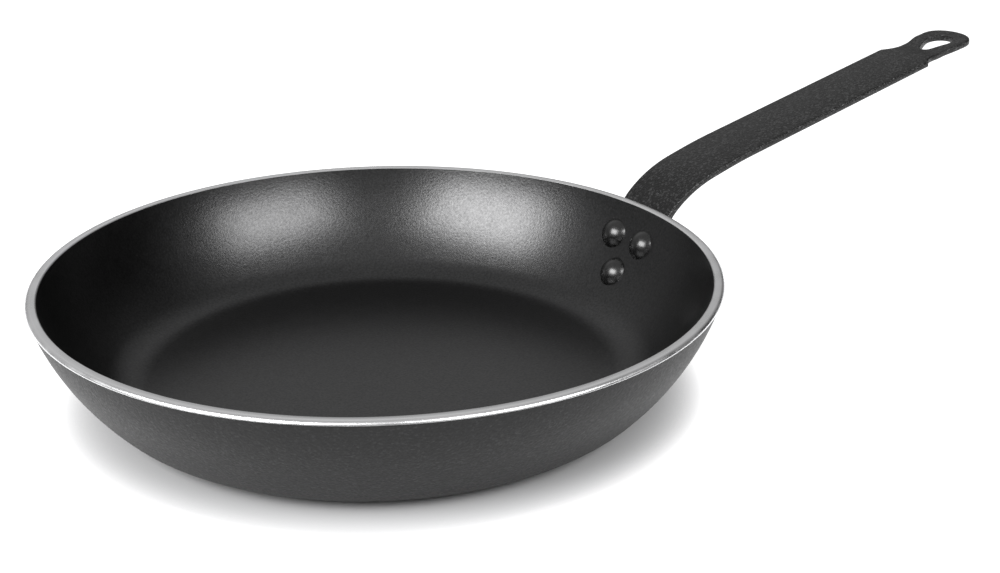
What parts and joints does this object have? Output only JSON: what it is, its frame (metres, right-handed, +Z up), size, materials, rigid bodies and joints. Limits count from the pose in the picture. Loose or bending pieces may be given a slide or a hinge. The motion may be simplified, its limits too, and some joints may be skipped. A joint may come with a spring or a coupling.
{
  "type": "omelette pan",
  "caption": "Shallow round frying pan with a slanted wall, a bare turned rim, a black lining and a riveted strip handle that rises to a hanging eye.",
  "frame": {"origin": "centre of the flat base, on the surface that the pan stands on", "axes": "+Z up, +X from the pan's centre along the handle, +Y to the left of the handle as seen from the pan"},
  "size_m": [0.4823, 0.28, 0.1024],
  "materials": {
    "bare_aluminium": "turned, fine concentric lines, bright",
    "nonstick": "satin black non-stick with a very fine grain",
    "lacquer": "dark grey metallic speckle, satin",
    "handle_coat": "dark grey powder coat with a fine texture",
    "rivet_black": "gloss black"
  },
  "bodies": {
    "root": {"pan_body": "bare_aluminium", "nonstick_lining": "nonstick", "outer_lacquer": "lacquer", "handle": "handle_coat", "rivet_upper_left": "rivet_black", "rivet_upper_right": "rivet_black", "rivet_lower": "rivet_black"}
  },
  "joints": []
}
